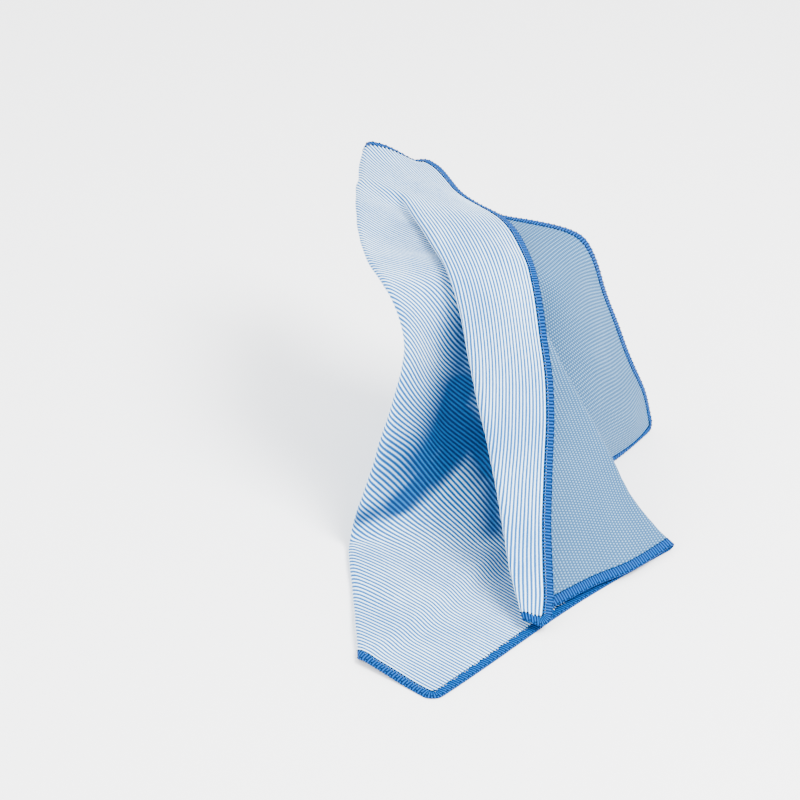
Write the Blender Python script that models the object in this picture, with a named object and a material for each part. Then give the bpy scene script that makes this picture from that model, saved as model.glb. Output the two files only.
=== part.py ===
"""A square ribbed microfibre cleaning cloth with an overlocked edge, in its folded drape.

The cloth is one flat square, cut 400 mm a side. A place on it is (u, v) in millimetres:
u runs along the bottom edge from corner A, v up the left edge, and the ribs run along v.
Corners: A (0, 0), B (400, 0), C (400, 400), D (0, 400).
Folds part the square into four panels, from the bottom of the heap to its top:
under (with corner D), front (with corner A), middle, and flap (with B and C).
Each fold and edge is a short table of places on the cloth and where they lie in the drape.
A thin plate spline bends each panel through its own rows, and the panels are then
rounded into each other along the folds. Both faces of the sheet are set off from that.
"""

import bpy
import numpy as np
from mathutils import Vector
from mathutils.geometry import delaunay_2d_cdt
from mathutils.kdtree import KDTree

# Driving dimensions in millimetres
MM = 0.001
SIDE = 400.0
THICK = 1.6
EDGING_WIDTH = 6.5
JOINT_GAP = 0.3
CORNER_RADIUS = 9.0
FOLD_ROUNDING = 2.6
GRID_STEP = 2.0
HALF = THICK / 2
# The point of the tables' own coordinates that the origin lies under
CENTRE = (-13.4, -54.6)
# How far apart the mesh points lie: on open cloth, along a fold, and across it
OPEN_STEP = 14.0
FOLD_STEP = 10.5
FOLD_OFFSETS = (-7.8, -4.2, -1.5, 1.5, 4.2, 7.8)
FOLD_ZONE = 10.0
NEAREST = 2.4
OPEN_NEAREST = 7.7
RIM_STEP = 8.4
RIM_FOLD_STEP = 2.4
RIM_ROOM = 2.0
RIM_CORNER_ANGLES = (0, 22.5, 45, 67.5, 90)
# How much a spline may leave its rows, which keeps near rows from making waves
SMOOTHING = 1e-5

# The folds. x, y, z: the middle of the fold in the drape. gap: how far its two layers lie
# apart there. lean: how far that gap is tipped forwards from upright, in degrees.
# u, v, x, y, z, gap, lean
UNDER_TURN = [
    (0.0, 61.5, -100.9, -233.2, 3.2, 4.8, 0),
    (43.0, 103.0, -107.3, -175.0, 2.9, 4.2, 0),
    (86.0, 145.0, -114.2, -112.6, 2.9, 4.2, 0),
    (93.0, 152.0, -113.6, -106.5, 12.0, 4.2, 50),
    (109.0, 166.5, -109.2, -102.4, 32.0, 4.4, 70),
    (133.0, 189.0, -101.7, -88.9, 61.0, 4.6, 75),
    (158.0, 213.0, -94.1, -76.7, 93.0, 4.6, 75),
    (182.5, 236.0, -88.9, -64.0, 126.5, 4.6, 70),
    (198.0, 251.0, -94.3, -55.4, 147.0, 4.4, 45),
    (212.0, 264.0, -104.3, -44.4, 160.0, 4.2, 15),
    (231.0, 282.0, -114.8, -22.7, 162.2, 4.2, 0),
    (254.0, 304.0, -124.3, 9.2, 162.3, 4.4, 0),
    (273.0, 322.5, -129.4, 36.9, 162.6, 5.0, 0),
    (293.5, 342.0, -131.9, 66.1, 162.8, 5.6, 0),
    (315.0, 362.5, -133.2, 97.4, 163.2, 6.4, 0),
    (336.0, 383.0, -133.0, 128.5, 163.6, 7.0, 0),
    (354.0, 400.0, -129.3, 154.3, 164.6, 7.4, 0),
]
BACK_PLEAT = [
    (242.0, 0.0, 105.5, -77.6, 3.0, 4.4, 10),
    (249.0, 36.0, 77.0, -66.5, 27.5, 4.6, 60),
    (255.5, 72.0, 57.6, -50.5, 53.0, 5.0, 60),
    (264.5, 124.0, 29.8, -34.5, 91.6, 5.0, 60),
    (270.0, 160.0, 12.2, -23.5, 117.0, 4.8, 60),
    (274.5, 190.0, -3.0, -15.0, 144.0, 4.8, 45),
    (277.5, 207.0, -12.0, -12.0, 158.5, 4.8, 30),
    (284.0, 227.0, -25.0, -5.0, 166.0, 4.6, 10),
    (294.0, 250.0, -43.0, 6.0, 167.0, 4.4, 0),
    (304.0, 275.0, -62.0, 22.0, 166.6, 3.8, 0),
    (313.0, 300.0, -79.0, 41.0, 166.2, 3.8, 0),
    (328.0, 330.0, -97.5, 66.0, 167.2, 3.6, 0),
]
FRONT_PLEAT = [
    (380.0, 0.0, 1.9, -185.2, 7.4, 4.2, 10),
    (374.0, 28.0, -7.7, -160.6, 24.0, 4.8, 60),
    (367.0, 61.0, -16.0, -133.4, 46.5, 5.0, 65),
    (353.0, 108.0, -28.5, -101.3, 80.7, 5.0, 65),
    (346.0, 129.0, -34.7, -88.7, 95.2, 5.0, 65),
    (337.0, 163.0, -44.3, -70.3, 121.2, 5.0, 60),
    (334.0, 184.0, -49.9, -59.6, 137.0, 4.8, 55),
    (332.5, 204.0, -55.5, -49.1, 153.0, 4.6, 40),
    (331.5, 224.0, -62.2, -36.7, 165.6, 4.4, 20),
    (331.0, 257.0, -73.2, -5.6, 170.6, 4.2, 0),
    (331.0, 301.0, -88.3, 37.6, 170.2, 3.6, 0),
    (331.0, 336.0, -102.2, 71.7, 171.0, 0.0, 0),
    (327.0, 355.0, -118.5, 88.0, 170.0, 0.0, 0),
    (317.0, 364.5, -130.5, 99.5, 166.6, 0.0, 0),
]

# The edges and inner places of each panel, off the folds
# u, v, x, y, z
UNDER_ROWS = [
    # the top edge, from under the flap out over the side and down to corner D
    (305.0, 400.0, -84.0, 118.0, 160.0),
    (240.0, 400.0, -33.0, 77.0, 160.0),
    (218.0, 400.0, -14.5, 71.0, 160.4),
    (194.0, 400.0, 8.5, 67.2, 160.0),
    (172.0, 400.0, 28.4, 60.0, 156.2),
    (158.0, 400.0, 36.6, 57.6, 144.2),
    (140.0, 400.0, 43.8, 53.6, 127.5),
    (110.0, 400.0, 55.4, 55.0, 100.8),
    (62.0, 400.0, 75.0, 61.0, 57.0),
    (27.0, 400.0, 88.0, 72.0, 25.0),
    (0.0, 400.0, 95.6, 73.0, 0.8),
    # the left edge, from corner D along the floor to the under turn
    (0.0, 342.0, 63.7, 20.0, 1.5),
    (0.0, 249.0, 7.8, -63.5, 2.0),
    (0.0, 155.0, -46.7, -148.6, -0.5),
    # lying level on top
    (190.0, 302.0, -52.0, -22.0, 156.5),
    (206.0, 315.0, -60.0, -7.0, 160.2),
    (168.0, 340.0, 0.0, 0.0, 157.5),
    (201.0, 370.0, -16.0, 39.0, 160.0),
    (255.0, 345.0, -70.0, 50.0, 160.2),
    # falling from the top to the floor
    (170.0, 288.0, -48.0, -26.0, 136.0),
    (140.0, 370.0, 29.0, 28.0, 137.0),
    (84.0, 338.0, 40.0, 12.0, 84.0),
    (74.0, 369.0, 58.0, 35.0, 69.0),
    (28.0, 362.0, 78.0, 45.0, 20.0),
    (95.0, 295.0, 5.0, -18.0, 80.0),
    (45.0, 262.0, 14.0, -46.0, 38.0),
    (116.0, 250.0, -48.0, -28.0, 75.0),
    (92.0, 215.0, -60.0, -56.0, 30.0),
    (60.0, 200.0, -54.0, -72.0, 3.0),
    (30.0, 182.0, -50.0, -107.0, -0.5),
    (40.0, 145.0, -80.0, -133.0, -0.5),
]
FRONT_ROWS = [
    # the bottom hem on the floor, from corner A to the back pleat
    (0.0, 0.0, -50.6, -266.3, -0.5),
    (50.0, 0.0, -18.7, -225.6, -0.5),
    (88.0, 0.0, 5.0, -194.4, -0.5),
    (119.0, 0.0, 22.8, -170.5, -0.5),
    (163.0, 0.0, 51.7, -135.2, -0.5),
    (195.0, 0.0, 73.6, -110.6, -0.4),
    # lying on the floor and on the under panel
    (30.0, 40.0, -63.0, -219.0, -0.5),
    (60.0, 60.0, -60.5, -181.5, 0.0),
    (60.0, 100.0, -93.0, -157.0, 5.0),
    (100.0, 60.0, -36.0, -148.0, 0.6),
    (100.0, 110.0, -75.0, -115.0, 6.4),
    (150.0, 40.0, 12.0, -121.0, 0.0),
    (203.0, 35.0, 53.0, -85.0, 5.0),
    # the valley that runs up from the floor to behind the flap
    (120.0, 128.0, -71.0, -92.0, 12.0),
    (146.0, 122.0, -46.0, -74.0, 20.0),
    (176.0, 128.0, -28.0, -50.0, 42.0),
    # the fall above it
    (150.0, 175.0, -76.0, -72.0, 62.0),
    (176.0, 160.0, -56.0, -54.0, 66.0),
    (205.0, 152.0, -32.0, -42.0, 84.0),
    (236.0, 120.0, 2.0, -35.0, 82.0),
    (212.0, 205.0, -62.0, -46.0, 118.0),
    (240.0, 190.0, -35.0, -33.0, 130.0),
    # level on top, a shallow trough between the turn and the pleat
    (235.0, 243.0, -74.0, -32.0, 161.0),
    (262.0, 233.0, -45.0, -15.0, 163.6),
    (254.0, 222.0, -45.0, -27.0, 157.5),
    (228.0, 237.0, -74.0, -40.0, 156.5),
    (260.0, 262.0, -86.0, -4.0, 163.6),
    (285.0, 262.0, -65.0, 4.0, 163.4),
    (292.0, 300.0, -97.0, 31.0, 163.6),
    (308.0, 325.0, -108.5, 57.0, 164.6),
    (316.0, 348.0, -120.0, 79.0, 166.4),
]
MIDDLE_ROWS = [
    (286.0, 0.0, 73.7, -115.6, 5.0),
    (310.0, 0.0, 54.4, -131.2, 5.0),
    (341.0, 0.0, 32.3, -153.4, 5.0),
    (312.0, 60.0, 24.5, -93.0, 47.0),
    (312.0, 120.0, -4.0, -67.0, 90.0),
    (306.0, 180.0, -25.0, -40.0, 135.0),
    (308.0, 212.0, -38.0, -28.5, 161.0),
    (314.0, 242.0, -54.0, -11.0, 168.4),
]
FLAP_ROWS = [
    # the right edge, from corner C down to corner B
    (400.0, 400.0, -85.5, 147.5, 163.4),
    (400.0, 382.0, -75.0, 132.0, 164.6),
    (400.0, 353.0, -63.5, 104.0, 166.0),
    (400.0, 338.0, -57.5, 89.0, 167.0),
    (400.0, 328.0, -51.0, 80.0, 167.4),
    (400.0, 315.5, -42.0, 70.5, 167.6),
    (400.0, 299.0, -29.4, 58.8, 168.0),
    (400.0, 255.0, -11.7, 14.4, 168.0),
    (400.0, 217.0, -2.6, -20.5, 159.0),
    (400.0, 187.0, 4.2, -45.3, 138.0),
    (400.0, 160.0, 10.7, -57.5, 113.0),
    (400.0, 134.5, 14.2, -74.4, 91.0),
    (400.0, 105.0, 15.6, -95.0, 67.0),
    (400.0, 75.0, 17.0, -118.3, 46.0),
    (400.0, 47.0, 19.6, -142.0, 27.0),
    (400.0, 19.5, 22.0, -167.6, 12.5),
    (400.0, 0.0, 20.4, -187.1, 5.0),
    # the top edge, from corner C to the under turn
    (389.0, 400.0, -92.5, 138.5, 163.8),
    (381.0, 400.0, -100.0, 141.5, 165.8),
    (366.0, 400.0, -115.0, 150.0, 168.6),
    # the swell of the flap
    (366.0, 300.0, -59.0, 47.0, 173.0),
    (366.0, 350.0, -86.0, 92.0, 171.0),
    (366.0, 250.0, -40.0, -4.5, 172.6),
    (366.0, 215.0, -30.0, -39.0, 164.0),
    (370.0, 150.0, -14.3, -75.0, 112.0),
    (378.0, 80.0, -4.7, -121.0, 57.0),
]


# The under panel's left edge on the floor, and how the front panel climbs over it
UNDER_EDGE = (np.array([-100.9, -233.2]), np.array([7.8, -63.5]))
LIFT = 4.4
LIFT_RAMP = 14.0
LIFT_LEAD = 3.0
# The least distance between the middles of two layers, how far along the cloth beside a layer
# it is still judged, how steeply, and over how many grid cells a push is spread
LAYER_GAP = 3.5
LAYER_REACH = 14.0
LAYER_SLOPE = 0.6
LAYER_SLACK = 1.0
PUSH_CELLS = 3
PUSH_BLUR = 2.0
# The pairs that the gap holds for: upper panel, lower panel, and which way the lower panel's
# normal points out of the heap
LAYERS = (
    ("front", "under", -1),
    ("middle", "front", 1),
    ("flap", "middle", -1),
    ("flap", "under", -1),
)


def as_table(rows):
    return np.array(rows, float)


TURN = as_table(UNDER_TURN)
BACK = as_table(BACK_PLEAT)
FRONT = as_table(FRONT_PLEAT)


def turn_v(u):
    """The height v of the under turn on the cloth at u."""
    return np.interp(u, TURN[:, 0], TURN[:, 1])


def front_u(v):
    """Where the front pleat crosses the height v; above its end the under turn takes over."""
    along_turn = np.interp(v, TURN[:, 1], TURN[:, 0])
    return np.where(v < FRONT[-1, 1], np.interp(v, FRONT[:, 1], FRONT[:, 0]), along_turn)


def back_u(v):
    """Where the back pleat crosses the height v; it ends where it meets the front pleat."""
    return np.where(v < BACK[-1, 1], np.interp(v, BACK[:, 1], BACK[:, 0]), front_u(v))


def fold_side(table, side):
    """Rows of one layer at a fold: the middle, moved half the gap to that side."""
    lean = np.radians(table[:, 6])
    across = np.stack([0.3 * np.sin(lean), -np.sin(lean), np.cos(lean)], axis=1)
    across /= np.linalg.norm(across, axis=1)[:, None]
    rows = table[:, :5].copy()
    rows[:, 2:] += side * 0.5 * table[:, 5:6] * across
    return rows


def thin_plate(rows, u, v):
    """Places on a thin plate spline through rows of u, v, x, y, z."""
    known = rows[:, :2] / SIDE
    wanted = np.stack([u, v], axis=1) / SIDE

    def kernel(a, b):
        squared = ((a[:, None, :] - b[None, :, :]) ** 2).sum(axis=2)
        return 0.5 * squared * np.log(squared + 1e-12)

    count = len(rows)
    flat = np.hstack([np.ones((count, 1)), known])
    system = np.zeros((count + 3, count + 3))
    system[:count, :count] = kernel(known, known) + SMOOTHING * np.eye(count)
    system[:count, count:] = flat
    system[count:, :count] = flat.T
    goal = np.zeros((count + 3, 3))
    goal[:count] = rows[:, 2:5]
    weights = np.linalg.solve(system, goal)
    tilted = np.hstack([np.ones((len(wanted), 1)), wanted]) @ weights[count:]
    return tilted + kernel(wanted, known) @ weights[:count]


def panels():
    """The rows that each panel is bent through."""
    turn_low = TURN[TURN[:, 1] < FRONT[-1, 1]]
    turn_top = TURN[TURN[:, 1] > FRONT[-1, 1]]
    beside_back = FRONT[FRONT[:, 1] <= BACK[-1, 1]]
    above_back = FRONT[FRONT[:, 1] > BACK[-1, 1]]
    parts = {
        "under": (fold_side(TURN, -1), UNDER_ROWS),
        "front": (fold_side(turn_low, 1), fold_side(BACK, -1), fold_side(above_back, -1), FRONT_ROWS),
        "middle": (fold_side(BACK, 1), fold_side(beside_back, -1), MIDDLE_ROWS),
        "flap": (fold_side(FRONT, 1), fold_side(turn_top, 1), FLAP_ROWS),
    }
    return {name: np.vstack([as_table(rows) for rows in tables]) for name, tables in parts.items()}


def panel_masks(u, v):
    """Which of the four panels each place on the cloth belongs to."""
    under = v > turn_v(u)
    front = ~under & (u < back_u(v))
    flap = ~under & ~front & (u >= front_u(v))
    return {"under": under, "front": front, "middle": ~under & ~front & ~flap, "flap": flap}


def rounded(grid, spread):
    """The grid with each place averaged over its neighbours, weighted by a bell of that spread."""
    reach = int(np.ceil(3 * spread))
    bell = np.exp(-0.5 * (np.arange(-reach, reach + 1) / spread) ** 2)
    bell /= bell.sum()
    for axis in (0, 1):
        moved = np.moveaxis(grid, axis, 0)
        start = 2 * moved[:1] - moved[reach:0:-1]
        end = 2 * moved[-1:] - moved[-2 : -reach - 2 : -1]
        padded = np.concatenate([start, moved, end])
        moved = sum(w * padded[i : i + len(moved)] for i, w in enumerate(bell))
        grid = np.moveaxis(moved, 0, axis)
    return grid


def lifted(places):
    """The front panel raised where it lies on the under panel, on a short ramp before its edge."""
    start, end = UNDER_EDGE
    along = (end - start) / np.linalg.norm(end - start)
    past = (places[:, 1] - start[1]) * along[0] - (places[:, 0] - start[0]) * along[1]
    ramp = np.clip((past + LIFT_RAMP + LIFT_LEAD) / LIFT_RAMP, 0, 1)
    ramp = ramp * ramp * (3 - 2 * ramp)
    low = HALF + LIFT * ramp
    places[:, 2] = np.where(past > -LIFT_RAMP - LIFT_LEAD, np.maximum(places[:, 2], low), places[:, 2])
    return places


def widened(field, mask, reach):
    """The field's largest value within reach cells, then averaged, inside the mask."""
    field = np.where(mask, field, 0.0)
    for _ in range(reach):
        padded = np.pad(field, 1, mode="edge")
        beside = (padded[:-2, 1:-1], padded[2:, 1:-1], padded[1:-1, :-2], padded[1:-1, 2:])
        field = np.maximum.reduce([field, *beside])
    weight = rounded(mask.astype(float)[:, :, None], PUSH_BLUR)[:, :, 0]
    total = rounded(np.where(mask, field, 0.0)[:, :, None], PUSH_BLUR)[:, :, 0]
    return total / np.maximum(weight, 0.05)


def spaced(places, masks):
    """Each upper panel pushed out of the heap wherever it lies nearer than the layer gap."""
    for upper, lower, way in LAYERS:
        above, below = masks[upper], masks[lower]
        inner = below.copy()
        inner[1:-1, 1:-1] &= below[:-2, 1:-1] & below[2:, 1:-1] & below[1:-1, :-2] & below[1:-1, 2:]
        normals = np.cross(np.gradient(places, axis=1), np.gradient(places, axis=0))
        normals *= way / np.linalg.norm(normals, axis=2)[:, :, None]
        known, out = places[inner], normals[inner]
        tree = KDTree(len(known))
        for index, place in enumerate(known):
            tree.insert(place, index)
        tree.balance()
        push = np.zeros(above.shape)
        way_out = np.zeros(places.shape)
        for row, column in zip(*np.nonzero(above)):
            place = places[row, column]
            _, index, far = tree.find(place)
            height = float((place - known[index]) @ out[index])
            if far < LAYER_REACH and abs(height) > LAYER_SLOPE * far - LAYER_SLACK:
                push[row, column] = max(0.0, LAYER_GAP - height)
                way_out[row, column] = out[index]
        amount = widened(push, above, PUSH_CELLS)
        blurred = rounded(way_out, PUSH_CELLS)
        blurred /= np.maximum(np.linalg.norm(blurred, axis=2), 1e-6)[:, :, None]
        places[above] += (amount[:, :, None] * blurred)[above]
    return places


def drape():
    """The middle surface of the cloth on a square grid, indexed by v then u, and its normals."""
    count = int(SIDE / GRID_STEP) + 1
    ticks = np.linspace(0.0, SIDE, count)
    u, v = np.meshgrid(ticks, ticks)
    u, v = u.ravel(), v.ravel()
    places = np.zeros((count * count, 3))
    rows = panels()
    masks = panel_masks(u, v)
    for name, mask in masks.items():
        places[mask] = thin_plate(rows[name], u[mask], v[mask])
        if name == "front":
            places[mask] = lifted(places[mask])
    places[:, 2] = np.maximum(places[:, 2], HALF)
    masks = {name: mask.reshape(count, count) for name, mask in masks.items()}
    places = spaced(places.reshape(count, count, 3), masks)
    places = rounded(places, FOLD_ROUNDING / GRID_STEP)
    places[:, :, :2] -= CENTRE
    places[:, :, 2] = np.maximum(places[:, :, 2], HALF)
    normals = np.cross(np.gradient(places, axis=1), np.gradient(places, axis=0))
    normals /= np.linalg.norm(normals, axis=2)[:, :, None]
    return places, normals


def sampled(grid, uv):
    """A grid read between its points at places (u, v)."""
    at = np.clip(np.asarray(uv, float) / GRID_STEP, 0, len(grid) - 1 - 1e-9)
    i = at.astype(int)
    f = at - i
    fu, fv = f[:, :1], f[:, 1:]
    low = grid[i[:, 1], i[:, 0]] * (1 - fu) + grid[i[:, 1], i[:, 0] + 1] * fu
    high = grid[i[:, 1] + 1, i[:, 0]] * (1 - fu) + grid[i[:, 1] + 1, i[:, 0] + 1] * fu
    return low * (1 - fv) + high * fv


def both_faces(drape_grids, uv):
    """Places on the upper and lower face of the sheet over places (u, v)."""
    places, normals = drape_grids
    middle = sampled(places, uv)
    normal = sampled(normals, uv)
    normal /= np.linalg.norm(normal, axis=1)[:, None]
    upper = middle + HALF * normal
    lower = middle - HALF * normal
    for face in (upper, lower):
        face[:, 2] = np.where(face[:, 2] < 0.02, 0.0, face[:, 2])
    return upper, lower


def fold_lines():
    return [TURN[:, :2], BACK[:, :2], FRONT[:, :2]]


def fold_distance(points):
    """How far places on the cloth are from the nearest fold line."""
    points = np.asarray(points, float)
    best = np.full(len(points), np.inf)
    for line in fold_lines():
        for a, b in zip(line[:-1], line[1:]):
            run = b - a
            t = np.clip(((points - a) @ run) / (run @ run), 0, 1)
            best = np.minimum(best, np.linalg.norm(points - a - t[:, None] * run, axis=1))
    return best


def rim_path(step):
    """Stations round the cloth's cut edge, with rounded corners: places and inward directions."""
    corners = [(SIDE, 0), (SIDE, SIDE), (0, SIDE), (0, 0)]
    places, inward = [], []
    for k, corner in enumerate(corners):
        start = np.radians(-90 + 90 * k)
        centre = np.array(corner, float)
        centre += CORNER_RADIUS * np.where(centre > 0, -1, 1)
        for angle in start + np.radians(RIM_CORNER_ANGLES):
            out = np.array([np.cos(angle), np.sin(angle)])
            places.append(centre + CORNER_RADIUS * out)
            inward.append(-out)
        side = inward[-1]
        along = np.array([side[1], -side[0]])
        length = SIDE - 2 * CORNER_RADIUS
        begin = places[-1]
        for s in np.arange(step, length - 0.5 * step, step):
            places.append(begin + s * along)
            inward.append(side)
    return np.array(places), np.array(inward)


def rim_stations():
    """Rim places and inward directions: all of them near a fold, and few away from it."""
    places, inward = rim_path(RIM_FOLD_STEP)
    distance = fold_distance(places)
    kept, run = [0], 0.0
    for k in range(1, len(places)):
        run += np.linalg.norm(places[k] - places[k - 1])
        wanted = RIM_FOLD_STEP if distance[k] < FOLD_ZONE else RIM_STEP
        if run > wanted - 0.01:
            kept.append(k)
            run = 0.0
    return places[kept], inward[kept]


def panel_points(outline):
    """Mesh places inside the outline: rows beside each fold, then an open grid."""
    low = EDGING_WIDTH + JOINT_GAP
    chosen = list(outline)

    def add(points, room):
        for p in points:
            inside = (p > low + RIM_ROOM).all() and (p < SIDE - low - RIM_ROOM).all()
            if inside and np.linalg.norm(np.array(chosen) - p, axis=1).min() > room:
                chosen.append(p)

    for line in fold_lines():
        lengths = np.concatenate([[0], np.cumsum(np.linalg.norm(np.diff(line, axis=0), axis=1))])
        at = np.arange(0, lengths[-1], FOLD_STEP)
        middle = np.stack([np.interp(at, lengths, line[:, k]) for k in (0, 1)], axis=1)
        run = np.gradient(middle, axis=0)
        across = np.stack([-run[:, 1], run[:, 0]], axis=1) / np.linalg.norm(run, axis=1)[:, None]
        for offset in FOLD_OFFSETS:
            add(middle + offset * across, NEAREST)
    ticks = np.arange(low, SIDE - low, OPEN_STEP)
    open_grid = np.stack(np.meshgrid(ticks, ticks), axis=2).reshape(-1, 2)
    add(open_grid[fold_distance(open_grid) > FOLD_ZONE], OPEN_NEAREST)
    return np.array(chosen)


def finish(name, vertices, faces, material):
    """A smooth-shaded object in metres from places in millimetres."""
    mesh = bpy.data.meshes.new(name)
    mesh.from_pydata([tuple(p) for p in vertices * MM], [], faces)
    mesh.validate()
    mesh.shade_smooth()
    mesh.materials.append(material)
    obj = bpy.data.objects.new(name, mesh)
    bpy.context.scene.collection.objects.link(obj)
    return obj


def cloth_panel(drape_grids, material):
    """The ribbed cloth inside its edging, one closed sheet."""
    stations, inward = rim_stations()
    outline = stations + (EDGING_WIDTH + JOINT_GAP) * inward
    points = panel_points(outline)
    loop = list(range(len(outline)))
    flat, _, triangles, *_ = delaunay_2d_cdt([Vector(p) for p in points], [], [loop], 1, 1e-4)
    flat = np.array([tuple(p) for p in flat])
    upper, lower = both_faces(drape_grids, flat)
    count = len(flat)
    faces, directed = [], set()
    for a, b, c in triangles:
        faces.append((a, b, c))
        faces.append((count + c, count + b, count + a))
        directed.update([(a, b), (b, c), (c, a)])
    for a, b in sorted(directed):
        if (b, a) not in directed:
            faces.append((b, a, count + b))
            faces.append((a, count + a, count + b))
    return finish("cloth_panel", np.vstack([upper, lower]), faces, material)


def overlock_edging(drape_grids, material):
    """The stitched edging round the rim, one closed ring that follows every fold of the edge."""
    stations, inward = rim_stations()
    outer_upper, outer_lower = both_faces(drape_grids, stations)
    inner_upper, inner_lower = both_faces(drape_grids, stations + EDGING_WIDTH * inward)
    around = [outer_upper, inner_upper, inner_lower, outer_lower]
    count, sides = len(stations), len(around)
    vertices = np.vstack(around)
    faces = []
    for k in range(sides):
        for i in range(count):
            a, b = k * count + i, k * count + (i + 1) % count
            c, d = (k + 1) % sides * count + (i + 1) % count, (k + 1) % sides * count + i
            faces.append((a, b, c))
            faces.append((a, c, d))
    return finish("overlock_edging", vertices, faces, material)


def new_material(name, colour, roughness):
    material = bpy.data.materials.new(name)
    material.use_nodes = True
    shader = material.node_tree.nodes["Principled BSDF"]
    shader.inputs["Base Color"].default_value = (*colour, 1.0)
    shader.inputs["Roughness"].default_value = roughness
    shader.inputs["Metallic"].default_value = 0.0
    return material


def main():
    for obj in list(bpy.data.objects):
        bpy.data.objects.remove(obj, do_unlink=True)
    drape_grids = drape()
    cloth_panel(drape_grids, new_material("ribbed_microfibre", (0.50, 0.69, 0.86), 0.55))
    overlock_edging(drape_grids, new_material("edging_thread", (0.07, 0.34, 0.76), 0.5))


main()
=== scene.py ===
"""The look of a square ribbed microfibre cleaning cloth in its folded drape.

The cloth is one flat square, 400 mm a side. A place on it is (u, v) in millimetres:
u runs along the bottom edge from corner A, v up the left edge, and the ribs run along v.
Corners: A (0, 0), B (400, 0), C (400, 400), D (0, 400).
Folds part the square into four panels, from the bottom of the heap to its top:
under (with corner D), front (with corner A), middle, and flap (with B and C).
The tables below are places on the folds, edges and panels, in millimetres.
"""

import math

import bpy
import numpy as np
from mathutils import Matrix, Vector


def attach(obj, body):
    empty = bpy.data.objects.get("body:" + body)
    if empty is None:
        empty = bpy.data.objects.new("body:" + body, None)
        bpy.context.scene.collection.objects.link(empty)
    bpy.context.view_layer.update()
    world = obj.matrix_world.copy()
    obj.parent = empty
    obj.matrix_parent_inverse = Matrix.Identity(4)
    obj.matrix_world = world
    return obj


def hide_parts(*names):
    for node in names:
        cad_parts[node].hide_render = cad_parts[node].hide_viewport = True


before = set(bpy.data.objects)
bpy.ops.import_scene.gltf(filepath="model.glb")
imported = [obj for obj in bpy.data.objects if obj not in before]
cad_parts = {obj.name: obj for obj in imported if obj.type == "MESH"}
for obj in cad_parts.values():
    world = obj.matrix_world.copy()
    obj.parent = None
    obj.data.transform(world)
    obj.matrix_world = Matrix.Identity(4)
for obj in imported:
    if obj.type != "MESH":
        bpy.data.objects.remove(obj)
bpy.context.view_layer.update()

# One millimetre in metres, then the cloth in millimetres
MM = 0.001
SIDE = 400.0
THICK = 1.6
HALF = THICK / 2
FOLD_ROUNDING = 2.6
GRID_STEP = 2.0
CENTRE = (-13.4, -54.6)
SMOOTHING = 1e-5
CORNER_RADIUS = 9.0

# Ribs of the face and dots of the reverse
RIB_PITCH = 2.5
RIB_HEIGHT = 0.50
RIB_BASE = 0.46
REVERSE_RIB_HEIGHT = 0.2
REVERSE_BASE = 0.52
COLUMNS_PER_RIB = 4
SHEET_INSET = 3.125
SHEET_ROWS = 157
DOT_PITCH = 1.7
WAVE_HEIGHT = 0.35

# The edging: its width, its thickness, the stitches and the needle's dark thread
EDGING_WIDTH = 6.6
EDGING_HALF = 1.0
STITCH_PITCH = 2.0
STITCH_RELIEF = 0.22
STITCH_SAMPLES = 6
STITCH_SLANT = 0.5
BAND_POINTS = 14
BAND_ACROSS_POWER = 0.7
BAND_OVER_POWER = 0.55
EDGE_WAVE = 0.04
# Dark stitches: the needle's line inside the band, and the loops round its outer edge
# pitch, length, radius, depth from the edge
DARK_STITCHES = (
    (2.6, 1.6, 0.42, 6.1),
    (4.0, 1.3, 0.40, 0.9),
)
STITCH_RISE = 0.05
NEEDLE_CORNERS = 4
NEEDLE_RINGS = 5
NEEDLE_TIP = 0.02
# The least heights over the floor
CLOTH_LOWEST = 0.05
BAND_LOWEST = 0.04
NEEDLE_LOWEST = 0.03

# Patterns in the materials: cycles of noise per millimetre, across the ribs and along them
WANDER_STRETCH = (0.35, 0.12)
FACE_FIBRE_STRETCH = (0.9, 3.4)
REVERSE_FIBRE_STRETCH = (2.2, 2.2)
PATCH_STRETCH = (0.03, 0.02)
# Cycles of noise over the whole band, along it and around it
BAND_FIBRE_STRETCH = (3200.0, 28.0)
LOOP_PITCH = 1.3
CLOTH_BUMP = 0.00022
CLOTH_SHEEN = 0.04
CLOTH_SHEEN_TINT = (0.85, 0.93, 1.0)

# The photograph's camera: place in metres, angles in degrees, lens in millimetres
CAMERA_PLACE = (-0.0742, -1.4976, 1.0114)
CAMERA_PITCH = 31.77
CAMERA_ROLL = 5.09
CAMERA_LENS = 119.6
SENSOR_WIDTH = 36.0

# Colours from groove to crest, each with its place on the scale
FACE_STOPS = ((0.14, (0.006, 0.070, 0.22)), (0.52, (0.040, 0.22, 0.54)), (1.00, (0.74, 0.91, 0.99)))
# The painted shade's colours, from groove to crest: the valley's shade, painted as a darker blue
PAINTED_SHADE_STOPS = ((0.10, (0.000, 0.016, 0.07)), (0.55, (0.001, 0.042, 0.145)), (1.00, (0.005, 0.10, 0.30)))
REVERSE_STOPS = ((0.10, (0.022, 0.075, 0.16)), (0.50, (0.055, 0.15, 0.28)), (1.00, (0.24, 0.38, 0.53)))
# The band's own blue: lighter at the thread crowns as a painted highlight, darker between the threads as
# painted shade
BAND_STOPS = ((0.05, (0.000, 0.008, 0.045)), (0.45, (0.000, 0.022, 0.10)), (0.95, (0.001, 0.070, 0.29)))
NEEDLE_STOPS = ((0.3, (0.000, 0.003, 0.010)), (0.7, (0.000, 0.008, 0.025)))
FLOOR_COLOUR = (0.93, 0.93, 0.93)
FLOOR_REACH = 8.0
SKY_COLOUR = (0.97, 0.98, 1.0)
SKY_STRENGTH = 3.0
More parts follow.
